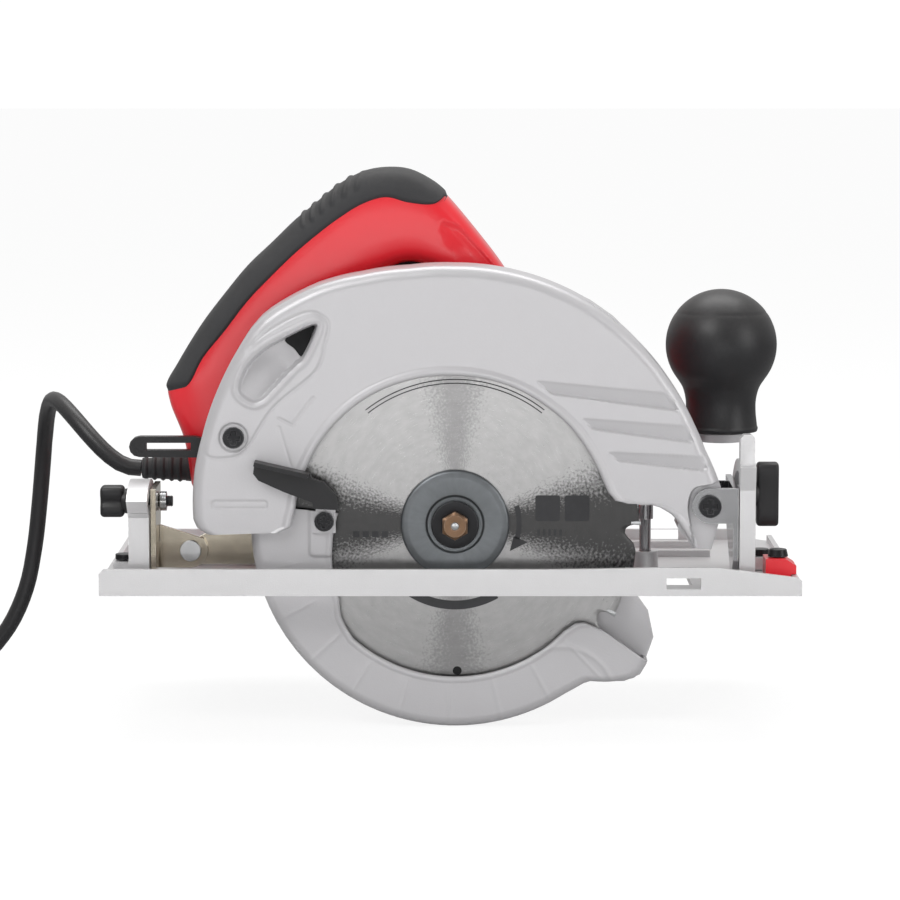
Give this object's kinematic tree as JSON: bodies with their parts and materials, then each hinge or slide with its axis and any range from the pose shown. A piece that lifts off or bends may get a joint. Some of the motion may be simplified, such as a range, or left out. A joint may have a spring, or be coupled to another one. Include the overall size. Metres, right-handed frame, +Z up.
{
  "type": "circular saw",
  "caption": "Corded hand-held circular saw: cast guards round a toothed blade, tilting base plate, rear D-handle with rubber overgrip, front ball handle.",
  "frame": {"origin": "centre of the base plate's sole", "axes": "+X the way the saw cuts, +Y towards the motor, +Z up from the sole"},
  "size_m": [0.528, 0.1727, 0.2447],
  "materials": {
    "painted_casting": "satin silver-grey paint on a magnesium casting",
    "bare_casting": "bead-blasted die-cast aluminium",
    "red_plastic": "satin moulded red nylon",
    "black_plastic": "fine-grained black nylon",
    "soft_rubber": "moulded soft grip rubber",
    "ground_steel": "ground tool steel",
    "blue_steel": "dull phosphated steel",
    "bronzed_steel": "heat-tinted bolt steel",
    "yellow_plate": "yellowish zinc plating",
    "bright_plate": "bright nickel plating",
    "black_steel": "black oxide steel",
    "copper_winding": "enamelled copper",
    "carbon": "pressed carbon"
  },
  "bodies": {
    "base": {"base_plate": "bare_casting", "front_quadrant": "bare_casting", "rear_quadrant": "bare_casting", "front_quadrant_screw": "black_steel", "rear_quadrant_screw": "black_steel", "sight_indicator": "red_plastic", "sight_screw": "black_steel"},
    "fence_clamp": {"fence_clamp_screw": "bright_plate"},
    "bevel_bracket": {"front_bracket": "bright_plate", "rear_bracket": "yellow_plate", "depth_arm": "yellow_plate", "arm_pin": "ground_steel", "depth_pivot_screw": "black_steel", "front_stud_nut": "ground_steel", "rear_stud_nut": "ground_steel", "cord_coil": "soft_rubber", "cord_tie": "black_plastic", "mains_plug": "black_plastic"},
    "front_knob": {"front_bevel_knob": "black_plastic"},
    "rear_knob": {"rear_bevel_knob": "black_plastic"},
    "saw_body": {"upper_guard": "painted_casting", "outlet_screw": "black_steel", "gear_housing": "bare_casting", "spindle_bearing": "blue_steel", "motor_housing": "red_plastic", "motor_end_cap": "black_plastic", "front_bearing": "blue_steel", "rear_bearing": "blue_steel", "field_coil": "copper_winding", "brush_front": "carbon", "brush_rear": "carbon", "handle_right_half": "red_plastic", "handle_left_half": "red_plastic", "handle_overgrip": "soft_rubber", "switch_body": "black_plastic", "ball_handle": "black_plastic", "depth_lock_bolt": "ground_steel", "strain_relief": "soft_rubber", "cord": "soft_rubber", "lower_guard_spring": "ground_steel", "lower_guard_circlip": "blue_steel"},
    "lower_guard": {"lower_guard": "painted_casting", "lower_guard_lever": "black_plastic", "lever_screw": "black_steel"},
    "arbor": {"blade": "ground_steel", "inner_flange": "blue_steel", "outer_flange": "blue_steel", "blade_washer": "black_steel", "blade_bolt": "bronzed_steel", "spindle": "ground_steel", "driven_gear": "blue_steel"},
    "armature": {"armature_shaft": "ground_steel", "armature_core": "blue_steel", "commutator": "copper_winding", "cooling_fan": "black_plastic"},
    "trigger": {"trigger": "black_plastic"},
    "lock_off_button": {"lock_off_button": "black_plastic"},
    "spindle_lock_button": {"spindle_lock_button": "red_plastic"},
    "depth_lock_lever": {"depth_lock_lever": "black_plastic"}
  },
  "joints": [
    {"name": "bevel_tilt", "type": "hinge", "parent": "base", "child": "bevel_bracket", "pos_m": [0.002, -0.05, 0.008], "axis": [1, 0, 0], "range_deg": [0, 45]},
    {"name": "depth_pivot", "type": "hinge", "parent": "bevel_bracket", "child": "saw_body", "pos_m": [0.114, -0.05, 0.037], "axis": [0, 1, 0], "range_deg": [0, 24]},
    {"name": "front_knob_turn", "type": "hinge", "parent": "bevel_bracket", "child": "front_knob", "pos_m": [0.132, -0.02323, 0.03773], "axis": [1, 0, 0], "range_deg": [0, 75]},
    {"name": "rear_knob_turn", "type": "hinge", "parent": "bevel_bracket", "child": "rear_knob", "pos_m": [-0.148, -0.03739, 0.03632], "axis": [1, 0, 0], "range_deg": [0, 75]},
    {"name": "fence_clamp_turn", "type": "hinge", "parent": "base", "child": "fence_clamp", "pos_m": [0.088, -0.015, 0.02], "axis": [0, 0, 1], "range_deg": [-180, 180]},
    {"name": "lower_guard_swing", "type": "hinge", "parent": "saw_body", "child": "lower_guard", "pos_m": [0.002, -0.05, 0.028], "axis": [0, 1, 0], "range_deg": [0, 120], "stiffness_Nm_per_rad": 0.12, "springref_deg": -68.75},
    {"name": "blade_spin", "type": "hinge", "parent": "saw_body", "child": "arbor", "pos_m": [0.002, -0.05, 0.028], "axis": [0, 1, 0], "continuous": true},
    {"name": "armature_spin", "type": "hinge", "parent": "saw_body", "child": "armature", "pos_m": [-0.006, -0.05, 0.054], "axis": [0, 1, 0], "continuous": true},
    {"name": "trigger_squeeze", "type": "hinge", "parent": "saw_body", "child": "trigger", "pos_m": [-0.0155, -0.006, 0.139], "axis": [0, 1, 0], "range_deg": [0, 8], "stiffness_Nm_per_rad": 1.5, "springref_deg": -8.59},
    {"name": "lock_off_press", "type": "slide", "parent": "saw_body", "child": "lock_off_button", "axis": [0, -1, 0], "range_m": [0, 0.003], "stiffness_N_per_m": 400, "springref_m": -0.002},
    {"name": "spindle_lock_press", "type": "slide", "parent": "saw_body", "child": "spindle_lock_button", "axis": [-1, 0, 0], "range_m": [0, 0.003], "stiffness_N_per_m": 400, "springref_m": -0.002},
    {"name": "depth_lock_turn", "type": "hinge", "parent": "saw_body", "child": "depth_lock_lever", "pos_m": [-0.08197, -0.028, 0.04042], "axis": [0, 1, 0], "range_deg": [0, 35]}
  ],
  "couplings": [
    {"joint": "armature_spin", "follows": "blade_spin", "ratio": -4}
  ]
}
